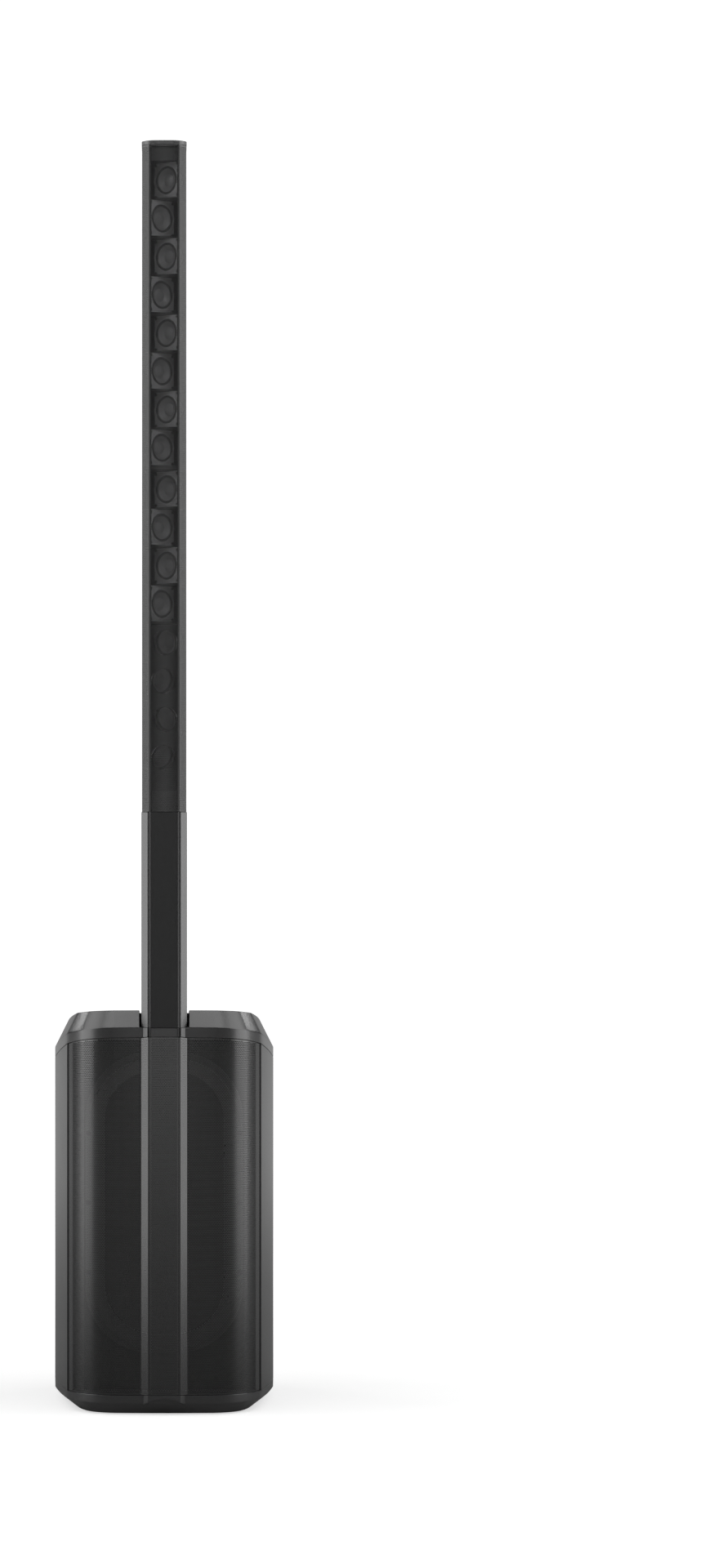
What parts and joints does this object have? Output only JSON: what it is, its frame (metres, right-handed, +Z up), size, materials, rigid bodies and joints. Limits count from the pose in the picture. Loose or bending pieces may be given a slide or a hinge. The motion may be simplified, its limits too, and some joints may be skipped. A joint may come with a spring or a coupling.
{
  "type": "column pa system",
  "caption": "Free-standing column loudspeaker: a powered bass cabinet with a sloping cover, a plug-in spacer column and a slim perforated line array",
  "frame": {"origin": "floor level under the middle of the bounding box", "axes": "+Z up the column, front with the grilles faces -Y, +X is to the right seen from the front"},
  "size_m": [0.355, 0.456, 2.01],
  "materials": {
    "shell_plastic": "fine moulded texture, dark grey",
    "cover_plastic": "fine moulded texture with a soft sheen",
    "tray_plastic": "fine moulded texture",
    "grille_steel": "powder-coated perforated steel",
    "column_metal": "satin dark grey anodised look",
    "strip_plastic": "matt dark insert",
    "inner_plastic": "plain moulded plastic",
    "foot_rubber": "moulded rubber",
    "grip_rubber": "soft ribbed rubber",
    "surround_rubber": "butyl rubber",
    "cone_paper": "pressed fibre cone",
    "cloth": "treated woven cloth",
    "frame_steel": "black painted steel",
    "driver_plastic": "grey moulded driver frame",
    "cone_metal": "thin spun aluminium cone",
    "motor_steel": "zinc plated",
    "coil_copper": "lacquered copper winding",
    "heat_aluminium": "extruded, black edged",
    "board": "solder resist over glass laminate",
    "supply_parts": "board with wound parts",
    "panel_plastic": "satin black panel",
    "jack_plastic": "glass-filled plastic",
    "jack_nut": "plated nut",
    "led_lens": "white light ring",
    "knob_rubber": "knurled soft knob",
    "button_plastic": "satin button cap",
    "screw_steel": "blackened steel screw"
  },
  "bodies": {
    "cabinet": {"enclosure_shell": "shell_plastic", "front_baffle": "inner_plastic", "top_cover": "cover_plastic", "base_tray": "tray_plastic", "rubber_feet": "foot_rubber", "base_grille": "grille_steel", "handle_grip": "grip_rubber", "column_socket": "inner_plastic", "woofer_basket": "frame_steel", "woofer_magnet": "motor_steel", "woofer_spider": "cloth", "woofer_surround": "surround_rubber", "woofer_screws": "screw_steel", "rear_panel": "panel_plastic", "panel_screws": "screw_steel", "combo_jack_1": "jack_plastic", "combo_jack_2": "jack_plastic", "line_jack": "jack_nut", "aux_jack": "jack_nut", "line_output": "jack_plastic", "mains_inlet": "jack_plastic", "led_rings": "led_lens", "amplifier_board": "board", "power_supply": "supply_parts", "heat_sink": "heat_aluminium"},
    "woofer": {"woofer_cone": "cone_paper", "woofer_voice_coil": "coil_copper"},
    "column": {"column_body": "column_metal", "column_front_strip": "strip_plastic", "column_plug": "inner_plastic", "column_head_socket": "inner_plastic"},
    "array": {"array_housing": "shell_plastic", "array_grille": "grille_steel", "array_top_cap": "column_metal", "array_plug": "inner_plastic", "driver_carrier": "inner_plastic", "array_brackets": "frame_steel", "driver_frames": "driver_plastic", "driver_motors": "motor_steel", "driver_surrounds": "surround_rubber", "driver_screws": "screw_steel"},
    "knob_1": {"volume_knob_1": "knob_rubber"},
    "knob_2": {"volume_knob_2": "knob_rubber"},
    "knob_3": {"volume_knob_3": "knob_rubber"},
    "mode_button_1": {"mode_button_1": "button_plastic"},
    "mute_button_1": {"mute_button_1": "button_plastic"},
    "mode_button_2": {"mode_button_2": "button_plastic"},
    "mute_button_2": {"mute_button_2": "button_plastic"},
    "mode_button_3": {"mode_button_3": "button_plastic"},
    "mute_button_3": {"mute_button_3": "button_plastic"},
    "phantom_button": {"phantom_button": "button_plastic"},
    "pairing_button": {"pairing_button": "button_plastic"},
    "voicing_button": {"voicing_button": "button_plastic"},
    "standby_button": {"standby_button": "button_plastic"},
    "left_cones": {"left_cones": "cone_metal"},
    "right_cones": {"right_cones": "cone_metal"},
    "lower_cone_13": {"lower_cone_13": "cone_metal"},
    "lower_cone_14": {"lower_cone_14": "cone_metal"},
    "lower_cone_15": {"lower_cone_15": "cone_metal"},
    "lower_cone_16": {"lower_cone_16": "cone_metal"}
  },
  "joints": [
    {"name": "woofer_travel", "type": "slide", "parent": "cabinet", "child": "woofer", "axis": [0, -1, 0], "range_m": [-0.008, 0.008], "stiffness_N_per_m": 3000, "deforming": ["woofer_surround", "woofer_spider"]},
    {"name": "knob_1_turn", "type": "hinge", "parent": "cabinet", "child": "knob_1", "pos_m": [0.014, 0.207, 0.388], "axis": [0, 1, 0], "continuous": true},
    {"name": "knob_2_turn", "type": "hinge", "parent": "cabinet", "child": "knob_2", "pos_m": [0.014, 0.207, 0.322], "axis": [0, 1, 0], "continuous": true},
    {"name": "knob_3_turn", "type": "hinge", "parent": "cabinet", "child": "knob_3", "pos_m": [0.014, 0.207, 0.256], "axis": [0, 1, 0], "continuous": true},
    {"name": "mode_button_1_press", "type": "slide", "parent": "cabinet", "child": "mode_button_1", "axis": [0, -1, 0], "range_m": [0, 0.0014], "stiffness_N_per_m": 400},
    {"name": "mute_button_1_press", "type": "slide", "parent": "cabinet", "child": "mute_button_1", "axis": [0, -1, 0], "range_m": [0, 0.0014], "stiffness_N_per_m": 400},
    {"name": "mode_button_2_press", "type": "slide", "parent": "cabinet", "child": "mode_button_2", "axis": [0, -1, 0], "range_m": [0, 0.0014], "stiffness_N_per_m": 400},
    {"name": "mute_button_2_press", "type": "slide", "parent": "cabinet", "child": "mute_button_2", "axis": [0, -1, 0], "range_m": [0, 0.0014], "stiffness_N_per_m": 400},
    {"name": "mode_button_3_press", "type": "slide", "parent": "cabinet", "child": "mode_button_3", "axis": [0, -1, 0], "range_m": [0, 0.0014], "stiffness_N_per_m": 400},
    {"name": "mute_button_3_press", "type": "slide", "parent": "cabinet", "child": "mute_button_3", "axis": [0, -1, 0], "range_m": [0, 0.0014], "stiffness_N_per_m": 400},
    {"name": "phantom_button_press", "type": "slide", "parent": "cabinet", "child": "phantom_button", "axis": [0, -1, 0], "range_m": [0, 0.0014], "stiffness_N_per_m": 400},
    {"name": "pairing_button_press", "type": "slide", "parent": "cabinet", "child": "pairing_button", "axis": [0, -1, 0], "range_m": [0, 0.0014], "stiffness_N_per_m": 400},
    {"name": "voicing_button_press", "type": "slide", "parent": "cabinet", "child": "voicing_button", "axis": [0, -1, 0], "range_m": [0, 0.0014], "stiffness_N_per_m": 400},
    {"name": "standby_button_press", "type": "slide", "parent": "cabinet", "child": "standby_button", "axis": [0, -1, 0], "range_m": [0, 0.0014], "stiffness_N_per_m": 400},
    {"name": "column_lift", "type": "slide", "parent": "cabinet", "child": "column", "axis": [0, 0, 1], "range_m": [0, 0.12]},
    {"name": "array_lift", "type": "slide", "parent": "column", "child": "array", "axis": [0, 0, 1], "range_m": [0, 0.12]},
    {"name": "left_cones_travel", "type": "slide", "parent": "array", "child": "left_cones", "axis": [-0.682, -0.7314, 0], "range_m": [-0.001, 0.001], "stiffness_N_per_m": 1500, "deforming": ["driver_surrounds"]},
    {"name": "right_cones_travel", "type": "slide", "parent": "array", "child": "right_cones", "axis": [0.682, -0.7314, 0], "range_m": [-0.001, 0.001], "stiffness_N_per_m": 1500},
    {"name": "lower_cone_13_travel", "type": "slide", "parent": "array", "child": "lower_cone_13", "axis": [-0.6794, -0.7286, -0.0872], "range_m": [-0.001, 0.001], "stiffness_N_per_m": 1500},
    {"name": "lower_cone_14_travel", "type": "slide", "parent": "array", "child": "lower_cone_14", "axis": [0.6716, -0.7202, -0.1736], "range_m": [-0.001, 0.001], "stiffness_N_per_m": 1500},
    {"name": "lower_cone_15_travel", "type": "slide", "parent": "array", "child": "lower_cone_15", "axis": [-0.6588, -0.7064, -0.2588], "range_m": [-0.001, 0.001], "stiffness_N_per_m": 1500},
    {"name": "lower_cone_16_travel", "type": "slide", "parent": "array", "child": "lower_cone_16", "axis": [0.6409, -0.6872, -0.342], "range_m": [-0.001, 0.001], "stiffness_N_per_m": 1500}
  ],
  "couplings": [
    {"joint": "right_cones_travel", "follows": "left_cones_travel", "ratio": 1},
    {"joint": "lower_cone_13_travel", "follows": "left_cones_travel", "ratio": 1},
    {"joint": "lower_cone_14_travel", "follows": "left_cones_travel", "ratio": 1},
    {"joint": "lower_cone_15_travel", "follows": "left_cones_travel", "ratio": 1},
    {"joint": "lower_cone_16_travel", "follows": "left_cones_travel", "ratio": 1}
  ]
}
